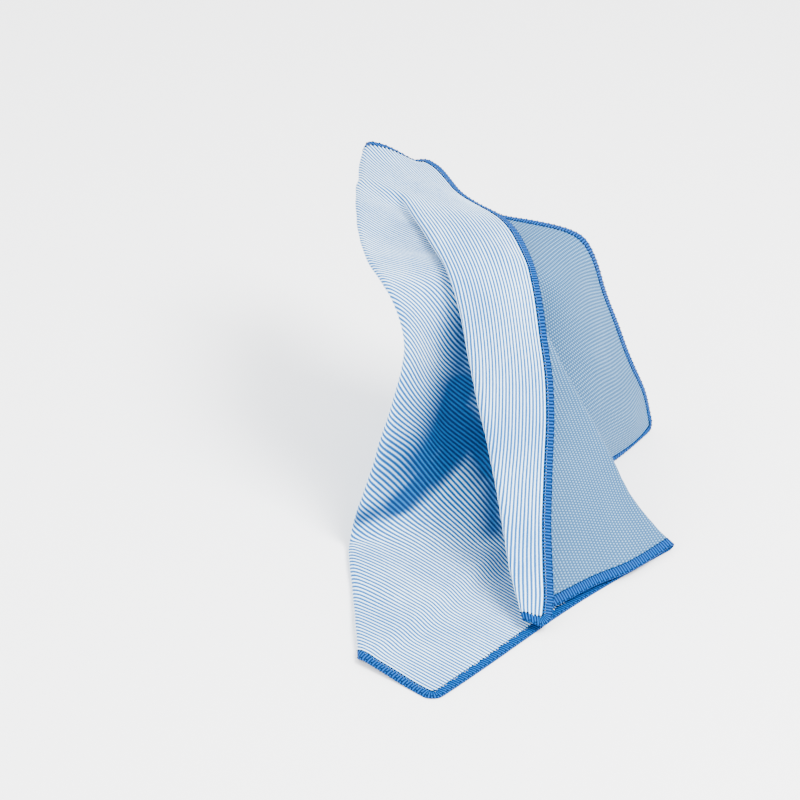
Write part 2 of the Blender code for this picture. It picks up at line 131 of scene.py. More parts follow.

# Painted shade: a deeper blue painted on the front panel where shade falls, in the valley behind the flap and
# down beside the flap's fold, as bands between two places.
# foot: whether the band ends at the valley's foot
# u, v, to u, to v, reach, strength, foot
SHADE_ROWS = (
    (103.0, 156.0, 122.0, 147.0, 6.0, 0.75, True),
    (122.0, 147.0, 148.0, 150.0, 10.0, 1.00, True),
    (148.0, 148.0, 170.0, 146.0, 12.0, 1.00, True),
    (148.0, 160.0, 172.0, 164.0, 19.0, 0.90, True),
    (172.0, 158.0, 200.0, 174.0, 18.0, 1.00, True),
    (200.0, 174.0, 236.0, 208.0, 12.0, 0.80, False),
    (236.0, 208.0, 300.0, 300.0, 10.0, 0.30, False),
    (186.0, 155.0, 176.0, 120.0, 13.0, 1.00, False),
    (176.0, 120.0, 152.0, 86.0, 9.0, 0.85, False),
    (152.0, 86.0, 112.0, 30.0, 8.0, 0.35, False),
)
# The valley's foot on the cloth, the height v for each u, and how soft the bands' end is there
SHADE_FOOT = ((100.0, 150.0), (112.0, 142.0), (125.0, 136.0), (160.0, 135.0), (175.0, 128.0))
SHADE_FOOT_REACH = 5.0
SHADE_GAIN = 1.15

# The lights: name, place and target in metres, size in metres, power in watts, colour
LIGHT_ROWS = [
    ("key", (0.9, -0.4, 1.7), (0.0, 0.0, 0.08), 0.9, 115.0, (1.0, 0.99, 0.98)),
    ("fill", (-1.4, -1.2, 1.0), (0.0, 0.0, 0.08), 1.4, 42.0, (0.97, 0.99, 1.0)),
]

# The folds. x, y, z: the middle of the fold in the drape. gap: how far its two layers lie
# apart there. lean: how far that gap is tipped forwards from upright, in degrees.
# u, v, x, y, z, gap, lean
UNDER_TURN = [
    (0.0, 61.5, -100.9, -233.2, 3.2, 4.8, 0),
    (43.0, 103.0, -107.3, -175.0, 2.9, 4.2, 0),
    (86.0, 145.0, -114.2, -112.6, 2.9, 4.2, 0),
    (93.0, 152.0, -113.6, -106.5, 12.0, 4.2, 50),
    (109.0, 166.5, -109.2, -102.4, 32.0, 4.4, 70),
    (133.0, 189.0, -101.7, -88.9, 61.0, 4.6, 75),
    (158.0, 213.0, -94.1, -76.7, 93.0, 4.6, 75),
    (182.5, 236.0, -88.9, -64.0, 126.5, 4.6, 70),
    (198.0, 251.0, -94.3, -55.4, 147.0, 4.4, 45),
    (212.0, 264.0, -104.3, -44.4, 160.0, 4.2, 15),
    (231.0, 282.0, -114.8, -22.7, 162.2, 4.2, 0),
    (254.0, 304.0, -124.3, 9.2, 162.3, 4.4, 0),
    (273.0, 322.5, -129.4, 36.9, 162.6, 5.0, 0),
    (293.5, 342.0, -131.9, 66.1, 162.8, 5.6, 0),
    (315.0, 362.5, -133.2, 97.4, 163.2, 6.4, 0),
    (336.0, 383.0, -133.0, 128.5, 163.6, 7.0, 0),
    (354.0, 400.0, -129.3, 154.3, 164.6, 7.4, 0),
]
BACK_PLEAT = [
    (242.0, 0.0, 105.5, -77.6, 3.0, 4.4, 10),
    (249.0, 36.0, 77.0, -66.5, 27.5, 4.6, 60),
    (255.5, 72.0, 57.6, -50.5, 53.0, 5.0, 60),
    (264.5, 124.0, 29.8, -34.5, 91.6, 5.0, 60),
    (270.0, 160.0, 12.2, -23.5, 117.0, 4.8, 60),
    (274.5, 190.0, -3.0, -15.0, 144.0, 4.8, 45),
    (277.5, 207.0, -12.0, -12.0, 158.5, 4.8, 30),
    (284.0, 227.0, -25.0, -5.0, 166.0, 4.6, 10),
    (294.0, 250.0, -43.0, 6.0, 167.0, 4.4, 0),
    (304.0, 275.0, -62.0, 22.0, 166.6, 3.8, 0),
    (313.0, 300.0, -79.0, 41.0, 166.2, 3.8, 0),
    (328.0, 330.0, -97.5, 66.0, 167.2, 3.6, 0),
]
FRONT_PLEAT = [
    (380.0, 0.0, 1.9, -185.2, 7.4, 4.2, 10),
    (374.0, 28.0, -7.7, -160.6, 24.0, 4.8, 60),
    (367.0, 61.0, -16.0, -133.4, 46.5, 5.0, 65),
    (353.0, 108.0, -28.5, -101.3, 80.7, 5.0, 65),
    (346.0, 129.0, -34.7, -88.7, 95.2, 5.0, 65),
    (337.0, 163.0, -44.3, -70.3, 121.2, 5.0, 60),
    (334.0, 184.0, -49.9, -59.6, 137.0, 4.8, 55),
    (332.5, 204.0, -55.5, -49.1, 153.0, 4.6, 40),
    (331.5, 224.0, -62.2, -36.7, 165.6, 4.4, 20),
    (331.0, 257.0, -73.2, -5.6, 170.6, 4.2, 0),
    (331.0, 301.0, -88.3, 37.6, 170.2, 3.6, 0),
    (331.0, 336.0, -102.2, 71.7, 171.0, 0.0, 0),
    (327.0, 355.0, -118.5, 88.0, 170.0, 0.0, 0),
    (317.0, 364.5, -130.5, 99.5, 166.6, 0.0, 0),
]

# The edges and inner places of each panel, off the folds
# u, v, x, y, z
UNDER_ROWS = [
    # the top edge, from under the flap out over the side and down to corner D
    (305.0, 400.0, -84.0, 118.0, 160.0),
    (240.0, 400.0, -33.0, 77.0, 160.0),
    (218.0, 400.0, -14.5, 71.0, 160.4),
    (194.0, 400.0, 8.5, 67.2, 160.0),
    (172.0, 400.0, 28.4, 60.0, 156.2),
    (158.0, 400.0, 36.6, 57.6, 144.2),
    (140.0, 400.0, 43.8, 53.6, 127.5),
    (110.0, 400.0, 55.4, 55.0, 100.8),
    (62.0, 400.0, 75.0, 61.0, 57.0),
    (27.0, 400.0, 88.0, 72.0, 25.0),
    (0.0, 400.0, 95.6, 73.0, 0.8),
    # the left edge, from corner D along the floor to the under turn
    (0.0, 342.0, 63.7, 20.0, 1.5),
    (0.0, 249.0, 7.8, -63.5, 2.0),
    (0.0, 155.0, -46.7, -148.6, -0.5),
    # lying level on top
    (190.0, 302.0, -52.0, -22.0, 156.5),
    (206.0, 315.0, -60.0, -7.0, 160.2),
    (168.0, 340.0, 0.0, 0.0, 157.5),
    (201.0, 370.0, -16.0, 39.0, 160.0),
    (255.0, 345.0, -70.0, 50.0, 160.2),
    # falling from the top to the floor
    (170.0, 288.0, -48.0, -26.0, 136.0),
    (140.0, 370.0, 29.0, 28.0, 137.0),
    (84.0, 338.0, 40.0, 12.0, 84.0),
    (74.0, 369.0, 58.0, 35.0, 69.0),
    (28.0, 362.0, 78.0, 45.0, 20.0),
    (95.0, 295.0, 5.0, -18.0, 80.0),
    (45.0, 262.0, 14.0, -46.0, 38.0),
    (116.0, 250.0, -48.0, -28.0, 75.0),
    (92.0, 215.0, -60.0, -56.0, 30.0),
    (60.0, 200.0, -54.0, -72.0, 3.0),
    (30.0, 182.0, -50.0, -107.0, -0.5),
    (40.0, 145.0, -80.0, -133.0, -0.5),
]
FRONT_ROWS = [
    # the bottom hem on the floor, from corner A to the back pleat
    (0.0, 0.0, -50.6, -266.3, -0.5),
    (50.0, 0.0, -18.7, -225.6, -0.5),
    (88.0, 0.0, 5.0, -194.4, -0.5),
    (119.0, 0.0, 22.8, -170.5, -0.5),
    (163.0, 0.0, 51.7, -135.2, -0.5),
    (195.0, 0.0, 73.6, -110.6, -0.4),
    # lying on the floor and on the under panel
    (30.0, 40.0, -63.0, -219.0, -0.5),
    (60.0, 60.0, -60.5, -181.5, 0.0),
    (60.0, 100.0, -93.0, -157.0, 5.0),
    (100.0, 60.0, -36.0, -148.0, 0.6),
    (100.0, 110.0, -75.0, -115.0, 6.4),
    (150.0, 40.0, 12.0, -121.0, 0.0),
    (203.0, 35.0, 53.0, -85.0, 5.0),
    # the valley that runs up from the floor to behind the flap
    (120.0, 128.0, -71.0, -92.0, 12.0),
    (146.0, 122.0, -46.0, -74.0, 20.0),
    (176.0, 128.0, -28.0, -50.0, 42.0),
    # the fall above it
    (150.0, 175.0, -76.0, -72.0, 62.0),
    (176.0, 160.0, -56.0, -54.0, 66.0),
    (205.0, 152.0, -32.0, -42.0, 84.0),
    (236.0, 120.0, 2.0, -35.0, 82.0),
    (212.0, 205.0, -62.0, -46.0, 118.0),
    (240.0, 190.0, -35.0, -33.0, 130.0),
    # level on top, a shallow trough between the turn and the pleat
    (235.0, 243.0, -74.0, -32.0, 161.0),
    (262.0, 233.0, -45.0, -15.0, 163.6),
    (254.0, 222.0, -45.0, -27.0, 157.5),
    (228.0, 237.0, -74.0, -40.0, 156.5),
    (260.0, 262.0, -86.0, -4.0, 163.6),
    (285.0, 262.0, -65.0, 4.0, 163.4),
    (292.0, 300.0, -97.0, 31.0, 163.6),
    (308.0, 325.0, -108.5, 57.0, 164.6),
    (316.0, 348.0, -120.0, 79.0, 166.4),
]
MIDDLE_ROWS = [
    (286.0, 0.0, 73.7, -115.6, 5.0),
    (310.0, 0.0, 54.4, -131.2, 5.0),
    (341.0, 0.0, 32.3, -153.4, 5.0),
    (312.0, 60.0, 24.5, -93.0, 47.0),
    (312.0, 120.0, -4.0, -67.0, 90.0),
    (306.0, 180.0, -25.0, -40.0, 135.0),
    (308.0, 212.0, -38.0, -28.5, 161.0),
    (314.0, 242.0, -54.0, -11.0, 168.4),
]
FLAP_ROWS = [
    # the right edge, from corner C down to corner B
    (400.0, 400.0, -85.5, 147.5, 163.4),
    (400.0, 382.0, -75.0, 132.0, 164.6),
    (400.0, 353.0, -63.5, 104.0, 166.0),
    (400.0, 338.0, -57.5, 89.0, 167.0),
    (400.0, 328.0, -51.0, 80.0, 167.4),
    (400.0, 315.5, -42.0, 70.5, 167.6),
    (400.0, 299.0, -29.4, 58.8, 168.0),
    (400.0, 255.0, -11.7, 14.4, 168.0),
    (400.0, 217.0, -2.6, -20.5, 159.0),
    (400.0, 187.0, 4.2, -45.3, 138.0),
    (400.0, 160.0, 10.7, -57.5, 113.0),
    (400.0, 134.5, 14.2, -74.4, 91.0),
    (400.0, 105.0, 15.6, -95.0, 67.0),
    (400.0, 75.0, 17.0, -118.3, 46.0),
    (400.0, 47.0, 19.6, -142.0, 27.0),
    (400.0, 19.5, 22.0, -167.6, 12.5),
    (400.0, 0.0, 20.4, -187.1, 5.0),
    # the top edge, from corner C to the under turn
    (389.0, 400.0, -92.5, 138.5, 163.8),
    (381.0, 400.0, -100.0, 141.5, 165.8),
    (366.0, 400.0, -115.0, 150.0, 168.6),
    # the swell of the flap
    (366.0, 300.0, -59.0, 47.0, 173.0),
    (366.0, 350.0, -86.0, 92.0, 171.0),
    (366.0, 250.0, -40.0, -4.5, 172.6),
    (366.0, 215.0, -30.0, -39.0, 164.0),
    (370.0, 150.0, -14.3, -75.0, 112.0),
    (378.0, 80.0, -4.7, -121.0, 57.0),
]


# The under panel's left edge on the floor, and how the front panel climbs over it
UNDER_EDGE = (np.array([-100.9, -233.2]), np.array([7.8, -63.5]))
LIFT = 4.4
LIFT_RAMP = 14.0
LIFT_LEAD = 3.0
# The least distance between the middles of two layers, how far along the cloth beside a layer
# it is still judged, how steeply, and over how many grid cells a push is spread
LAYER_GAP = 3.5
LAYER_REACH = 14.0
LAYER_SLOPE = 0.6
LAYER_SLACK = 1.0
PUSH_CELLS = 3
PUSH_BLUR = 2.0
NEAREST_BLOCK = 400
# The pairs that the gap holds for: upper panel, lower panel, and which way the lower panel's
# normal points out of the heap
LAYERS = (
    ("front", "under", -1),
    ("middle", "front", 1),
    ("flap", "middle", -1),
    ("flap", "under", -1),
)


def as_table(rows):
    return np.array(rows, float)


TURN = as_table(UNDER_TURN)
BACK = as_table(BACK_PLEAT)
FRONT = as_table(FRONT_PLEAT)


def turn_v(u):
    """The height v of the under turn on the cloth at u."""
    return np.interp(u, TURN[:, 0], TURN[:, 1])


def front_u(v):
    """Where the front pleat crosses the height v; above its end the under turn takes over."""
    along_turn = np.interp(v, TURN[:, 1], TURN[:, 0])
    return np.where(v < FRONT[-1, 1], np.interp(v, FRONT[:, 1], FRONT[:, 0]), along_turn)


def back_u(v):
    """Where the back pleat crosses the height v; it ends where it meets the front pleat."""
    return np.where(v < BACK[-1, 1], np.interp(v, BACK[:, 1], BACK[:, 0]), front_u(v))


def fold_side(table, side):
    """Rows of one layer at a fold: the middle, moved half the gap to that side."""
    lean = np.radians(table[:, 6])
    across = np.stack([0.3 * np.sin(lean), -np.sin(lean), np.cos(lean)], axis=1)
    across /= np.linalg.norm(across, axis=1)[:, None]
    rows = table[:, :5].copy()
    rows[:, 2:] += side * 0.5 * table[:, 5:6] * across
    return rows


def thin_plate(rows, u, v):
    """Places on a thin plate spline through rows of u, v, x, y, z."""
    known = rows[:, :2] / SIDE
    wanted = np.stack([u, v], axis=1) / SIDE

    def kernel(a, b):
        squared = ((a[:, None, :] - b[None, :, :]) ** 2).sum(axis=2)
        return 0.5 * squared * np.log(squared + 1e-12)

    count = len(rows)
    flat = np.hstack([np.ones((count, 1)), known])
    system = np.zeros((count + 3, count + 3))
    system[:count, :count] = kernel(known, known) + SMOOTHING * np.eye(count)
    system[:count, count:] = flat
    system[count:, :count] = flat.T
    goal = np.zeros((count + 3, 3))
    goal[:count] = rows[:, 2:5]
    weights = np.linalg.solve(system, goal)
    tilted = np.hstack([np.ones((len(wanted), 1)), wanted]) @ weights[count:]
    return tilted + kernel(wanted, known) @ weights[:count]


def panels():
    """The rows that each panel is bent through."""
    turn_low = TURN[TURN[:, 1] < FRONT[-1, 1]]
    turn_top = TURN[TURN[:, 1] > FRONT[-1, 1]]
    beside_back = FRONT[FRONT[:, 1] <= BACK[-1, 1]]
    above_back = FRONT[FRONT[:, 1] > BACK[-1, 1]]
    parts = {
        "under": (fold_side(TURN, -1), UNDER_ROWS),
        "front": (fold_side(turn_low, 1), fold_side(BACK, -1), fold_side(above_back, -1), FRONT_ROWS),
        "middle": (fold_side(BACK, 1), fold_side(beside_back, -1), MIDDLE_ROWS),
        "flap": (fold_side(FRONT, 1), fold_side(turn_top, 1), FLAP_ROWS),
    }
    return {name: np.vstack([as_table(rows) for rows in tables]) for name, tables in parts.items()}


def panel_masks(u, v):
    """Which of the four panels each place on the cloth belongs to."""
    under = v > turn_v(u)
    front = ~under & (u < back_u(v))
    flap = ~under & ~front & (u >= front_u(v))
    return {"under": under, "front": front, "middle": ~under & ~front & ~flap, "flap": flap}


def rounded(grid, spread):
    """The grid with each place averaged over its neighbours, weighted by a bell of that spread."""
    reach = int(np.ceil(3 * spread))
    bell = np.exp(-0.5 * (np.arange(-reach, reach + 1) / spread) ** 2)
    bell /= bell.sum()
    for axis in (0, 1):
        moved = np.moveaxis(grid, axis, 0)
        start = 2 * moved[:1] - moved[reach:0:-1]
        end = 2 * moved[-1:] - moved[-2 : -reach - 2 : -1]
        padded = np.concatenate([start, moved, end])
        moved = sum(w * padded[i : i + len(moved)] for i, w in enumerate(bell))
        grid = np.moveaxis(moved, 0, axis)
    return grid


def lifted(places):
    """The front panel raised where it lies on the under panel, on a short ramp before its edge."""
    start, end = UNDER_EDGE
    along = (end - start) / np.linalg.norm(end - start)
    past = (places[:, 1] - start[1]) * along[0] - (places[:, 0] - start[0]) * along[1]
    ramp = np.clip((past + LIFT_RAMP + LIFT_LEAD) / LIFT_RAMP, 0, 1)
    ramp = ramp * ramp * (3 - 2 * ramp)
    low = HALF + LIFT * ramp
    places[:, 2] = np.where(past > -LIFT_RAMP - LIFT_LEAD, np.maximum(places[:, 2], low), places[:, 2])
    return places


def widened(field, mask, reach):
    """The field's largest value within reach cells, then averaged, inside the mask."""
    field = np.where(mask, field, 0.0)
    for _ in range(reach):
        padded = np.pad(field, 1, mode="edge")
        beside = (padded[:-2, 1:-1], padded[2:, 1:-1], padded[1:-1, :-2], padded[1:-1, 2:])
        field = np.maximum.reduce([field, *beside])
    weight = rounded(mask.astype(float)[:, :, None], PUSH_BLUR)[:, :, 0]
    total = rounded(np.where(mask, field, 0.0)[:, :, None], PUSH_BLUR)[:, :, 0]
    return total / np.maximum(weight, 0.05)


def nearest(points, known):
    """For each point the index of the nearest known place: the least squared distance, in blocks."""
    found = []
    own = (known**2).sum(axis=1)
    for block in np.array_split(points, max(1, len(points) // NEAREST_BLOCK)):
        found.append((own[None, :] - 2 * block @ known.T).argmin(axis=1))
    return np.concatenate(found)


def spaced(places, masks):
    """Each upper panel pushed out of the heap wherever it lies nearer than the layer gap."""
    for upper, lower, way in LAYERS:
        above, below = masks[upper], masks[lower]
        inner = below.copy()
        inner[1:-1, 1:-1] &= below[:-2, 1:-1] & below[2:, 1:-1] & below[1:-1, :-2] & below[1:-1, 2:]
        normals = np.cross(np.gradient(places, axis=1), np.gradient(places, axis=0))
        normals *= way / np.linalg.norm(normals, axis=2)[:, :, None]
        known, out = places[inner], normals[inner]
        index = nearest(places[above], known)
        offset = places[above] - known[index]
        height = (offset * out[index]).sum(axis=1)
        far = np.linalg.norm(offset, axis=1)
        over = (far < LAYER_REACH) & (np.abs(height) > LAYER_SLOPE * far - LAYER_SLACK)
        push = np.zeros(above.shape)
        push[above] = np.where(over, np.maximum(0.0, LAYER_GAP - height), 0.0)
        way_out = np.zeros(places.shape)
        way_out[above] = out[index] * over[:, None]
        amount = widened(push, above, PUSH_CELLS)
        blurred = rounded(way_out, PUSH_CELLS)
        blurred /= np.maximum(np.linalg.norm(blurred, axis=2), 1e-6)[:, :, None]
        places[above] += (amount[:, :, None] * blurred)[above]
    return places


def drape():
    """The middle surface of the cloth on a square grid, indexed by v then u.

    Each panel is a thin plate spline through its rows. The panels are spaced apart, and the
    whole is averaged by a bell curve, which turns the folds into round bends.
    """
    count = int(SIDE / GRID_STEP) + 1
    ticks = np.linspace(0.0, SIDE, count)
    u, v = np.meshgrid(ticks, ticks)
    u, v = u.ravel(), v.ravel()
    places = np.zeros((count * count, 3))
    rows = panels()
    masks = panel_masks(u, v)
    for name, mask in masks.items():
        places[mask] = thin_plate(rows[name], u[mask], v[mask])
        if name == "front":
            places[mask] = lifted(places[mask])
    places[:, 2] = np.maximum(places[:, 2], HALF)
    masks = {name: mask.reshape(count, count) for name, mask in masks.items()}
    places = spaced(places.reshape(count, count, 3), masks)
    places = rounded(places, FOLD_ROUNDING / GRID_STEP)
    places[:, :, :2] -= CENTRE
    places[:, :, 2] = np.maximum(places[:, :, 2], HALF)
    return places


def cubic_weights(f):
    """The four weights of a Catmull-Rom curve at the fraction f between its middle two points."""
    return (
        0.5 * (-f + 2 * f**2 - f**3),
        0.5 * (2 - 5 * f**2 + 3 * f**3),
        0.5 * (f + 4 * f**2 - 3 * f**3),
        0.5 * (-(f**2) + f**3),
    )


def on_cloth(grid, u, v):
    """Places of the grid at (u, v): a product of two Catmull-Rom curves over four by four points."""
    last = len(grid) - 1
    at_u = np.clip(u / GRID_STEP, 0, last - 1e-9)
    at_v = np.clip(v / GRID_STEP, 0, last - 1e-9)
    i, j = at_u.astype(int), at_v.astype(int)
    along_u, along_v = cubic_weights(at_u - i), cubic_weights(at_v - j)
    total = np.zeros(np.shape(u) + (3,))
    for b, weight_v in enumerate(along_v):
        row = np.clip(j + b - 1, 0, last)
        for a, weight_u in enumerate(along_u):
            column = np.clip(i + a - 1, 0, last)
            total += (weight_u * weight_v)[..., None] * grid[row, column]
    return total


def normals_on(normals, u, v):
    """Unit normals of the cloth's face at (u, v), read between the grid's own."""
    found = on_cloth(normals, u, v)
    return found / np.linalg.norm(found, axis=-1)[..., None]


def grid_normals(grid):
    """The unit cross product of the grid's steps along u and along v."""
    normals = np.cross(np.gradient(grid, axis=1), np.gradient(grid, axis=0))
    return normals / np.linalg.norm(normals, axis=2)[:, :, None]


def waves(u, v):
    """Soft unevenness of the sheet: a few crossed sine waves of 37 to 96 mm, at most one in all."""
    total = np.sin(u / 9.1 + 1.7 * np.sin(v / 31.0)) * np.sin(v / 15.3 + 0.6)
    total += 0.7 * np.sin(v / 7.3 + 1.1 * np.sin(u / 23.0) + 2.0) * np.sin(u / 12.7 + 0.4)
    total += 0.5 * np.sin((u + v) / 5.9 + 0.9)
    return total / 2.2


def grid_object(name, places, uv, flip=False, closed_along=False, closed_around=False):
    """An object from a grid of places in millimetres, one quad for each cell, with its UV map."""
    rows, columns = places.shape[:2]
    row = np.arange(rows if closed_along else rows - 1)
    column = np.arange(columns if closed_around else columns - 1)
    j, i = np.meshgrid(row, column, indexing="ij")
    next_j, next_i = (j + 1) % rows, (i + 1) % columns
    low, high = j * columns, next_j * columns
    quads = np.stack([low + i, low + next_i, high + next_i, high + i], axis=2).reshape(-1, 4)
    corner_uv = np.stack([uv[j, i], uv[j, i + 1], uv[j + 1, i + 1], uv[j + 1, i]], axis=2).reshape(-1, 4, 2)
    if flip:
        quads, corner_uv = quads[:, ::-1], corner_uv[:, ::-1]
    mesh = bpy.data.meshes.new(name)
    mesh.vertices.add(rows * columns)
    mesh.vertices.foreach_set("co", (places * MM).astype(np.float32).ravel())
    mesh.loops.add(quads.size)
    mesh.loops.foreach_set("vertex_index", quads.astype(np.int32).ravel())
    mesh.polygons.add(len(quads))
    mesh.polygons.foreach_set("loop_start", np.arange(0, quads.size, 4, dtype=np.int32))
    layer = mesh.uv_layers.new(name="cloth")
    layer.data.foreach_set("uv", corner_uv.astype(np.float32).ravel())
    mesh.update(calc_edges=True)
    mesh.validate()
    mesh.shade_smooth()
    obj = bpy.data.objects.new(name, mesh)
    bpy.context.scene.collection.objects.link(obj)
    return obj


def sheet_grid():
    """(u, v) of the fine sheet: whole ribs across, even rows along."""
    step = RIB_PITCH / COLUMNS_PER_RIB
    u = np.arange(SHEET_INSET, SIDE - SHEET_INSET + 0.01 * step, step)
    v = np.linspace(SHEET_INSET, SIDE - SHEET_INSET, SHEET_ROWS)
    return np.meshgrid(u, v)


def cloth_side(name, grid, normals, sign, base, rib_height):
    """One side of the cloth.

    Its height over the middle surface is the base, plus a raised cosine across each rib,
    plus soft waves that both sides share.
    """
    u, v = sheet_grid()
    crest = 0.5 + 0.5 * np.cos(2 * np.pi * u / RIB_PITCH)
    places = on_cloth(grid, u, v)
    out = normals_on(normals, u, v)
    height = sign * (base + rib_height * crest) + WAVE_HEIGHT * waves(u, v)
    places = places + height[..., None] * out
    places[..., 2] = np.maximum(places[..., 2], CLOTH_LOWEST)
    uv = np.stack([u, v], axis=2) / SIDE
    return grid_object(name, places, uv, flip=sign < 0)


def rim_line(spacing):
    """Stations round the cut edge with round corners: place, inward direction and run length."""
    straight = SIDE - 2 * CORNER_RADIUS
    arc = 0.5 * np.pi * CORNER_RADIUS
    perimeter = 4 * (straight + arc)
    count = int(round(perimeter / spacing))
    s = np.arange(count) * perimeter / count
    side = np.minimum((s // (straight + arc)).astype(int), 3)
    r = s - side * (straight + arc)
    along = np.minimum(r, straight)
    turn = np.maximum(r - straight, 0) / CORNER_RADIUS
    # on side 0, the bottom edge from A to B; the others are quarter turns about the centre
    u = CORNER_RADIUS + along + CORNER_RADIUS * np.sin(turn)
    v = CORNER_RADIUS * (1 - np.cos(turn))
    inward_u, inward_v = -np.sin(turn), np.cos(turn)
    quarter = 0.5 * np.pi * side
    c, d = np.cos(quarter), np.sin(quarter)
    middle = 0.5 * SIDE
    du, dv = u - middle, v - middle
    place = np.stack([middle + c * du - d * dv, middle + d * du + c * dv], axis=1)
    inward = np.stack([c * inward_u - d * inward_v, d * inward_u + c * inward_v], axis=1)
    return place, inward, s, perimeter


def edging_band(grid, normals):
    """The overlocked thread band, a flat tube round the cut edge.

    Its section is a rounded box, a cosine and a sine each raised to a power under one. Its
    half thickness swells once a stitch by a raised cosine, whose phase leans with the depth.
    """
    place, inward, s, perimeter = rim_line(STITCH_PITCH / STITCH_SAMPLES)
    stitches = round(perimeter / STITCH_PITCH)
    angle = 2 * np.pi * np.arange(BAND_POINTS) / BAND_POINTS
    across = 0.5 - 0.5 * np.sign(np.cos(angle)) * np.abs(np.cos(angle)) ** BAND_ACROSS_POWER
    over = np.sign(np.sin(angle)) * np.abs(np.sin(angle)) ** BAND_OVER_POWER
    depth = EDGING_WIDTH * across
    phase = stitches * s[:, None] / perimeter + STITCH_SLANT * across[None, :] * np.sign(over + 1e-9)[None, :]
    swell = 0.5 + 0.5 * np.cos(2 * np.pi * phase)
    edge_wave = 1.0 + EDGE_WAVE * (swell - 0.5)
    at = place[:, None, :] + (depth[None, :] * edge_wave)[..., None] * inward[:, None, :]
    u, v = at[..., 0], at[..., 1]
    height = (EDGING_HALF + STITCH_RELIEF * swell) * over[None, :]
    height = height + WAVE_HEIGHT * waves(u, v)
    places = on_cloth(grid, u, v) + height[..., None] * normals_on(normals, u, v)
    places[..., 2] = np.maximum(places[..., 2], BAND_LOWEST)
    run = np.append(s, perimeter) / perimeter
    round_it = np.append(np.arange(BAND_POINTS), BAND_POINTS) / BAND_POINTS
    uv = np.stack(np.meshgrid(round_it, run), axis=2)
    return grid_object("overlock_band", places, uv, flip=True, closed_along=True, closed_around=True)


def needle_thread(grid, normals):
    """Short dark stitches along the band's two sides, on both faces.

    Each is a spindle of four sides: its radius is the square root of a parabola along it.
    """
    stations = np.linspace(-1.0, 1.0, NEEDLE_RINGS)
    swell = np.sqrt(np.maximum(1.0 - stations**2, NEEDLE_TIP))
    ring = np.arange(NEEDLE_CORNERS)
    corners = 2 * np.pi * (ring + 0.5) / NEEDLE_CORNERS
    next_ring = (ring + 1) % NEEDLE_CORNERS
    quads = np.stack([ring, next_ring, NEEDLE_CORNERS + next_ring, NEEDLE_CORNERS + ring], axis=1)
    tube = [quads + NEEDLE_CORNERS * k for k in range(NEEDLE_RINGS - 1)]
    points = NEEDLE_CORNERS * NEEDLE_RINGS
    one = np.concatenate(tube + [[ring[::-1]], [points - NEEDLE_CORNERS + ring]])
    vertices, faces, count = [], [], 0
    for pitch, length, radius, depth in DARK_STITCHES:
        place, inward, s, perimeter = rim_line(pitch)
        along = np.stack([inward[:, 1], -inward[:, 0]], axis=1)
        run = 0.5 * length * stations
        inset = depth + radius * swell[None, :, None] * np.cos(corners)[None, None, :]
        at = place[:, None, None, :] + run[None, :, None, None] * along[:, None, None, :]
        at = at + inset[..., None] * inward[:, None, None, :]
        u, v = at[..., 0], at[..., 1]
        rise = EDGING_HALF + STITCH_RISE + radius * swell[:, None] * np.sin(corners)[None, :]
        middle = on_cloth(grid, u, v)
        out = normals_on(normals, u, v)
        for sign in (1.0, -1.0):
            height = sign * rise[None] + WAVE_HEIGHT * waves(u, v)
            spot = middle + height[..., None] * out
            spot[..., 2] = np.maximum(spot[..., 2], NEEDLE_LOWEST)
            block = one[None, :, :] + points * np.arange(len(place))[:, None, None] + count
            vertices.append(spot.reshape(-1, 3))
            faces.append(block.reshape(-1, 4)[:, :: int(sign)])
            count += points * len(place)
    mesh = bpy.data.meshes.new("needle_thread")
    mesh.from_pydata(np.concatenate(vertices) * MM, [], np.concatenate(faces).tolist())
    mesh.validate()
    mesh.shade_smooth()
    obj = bpy.data.objects.new("needle_thread", mesh)
    bpy.context.scene.collection.objects.link(obj)
    return obj


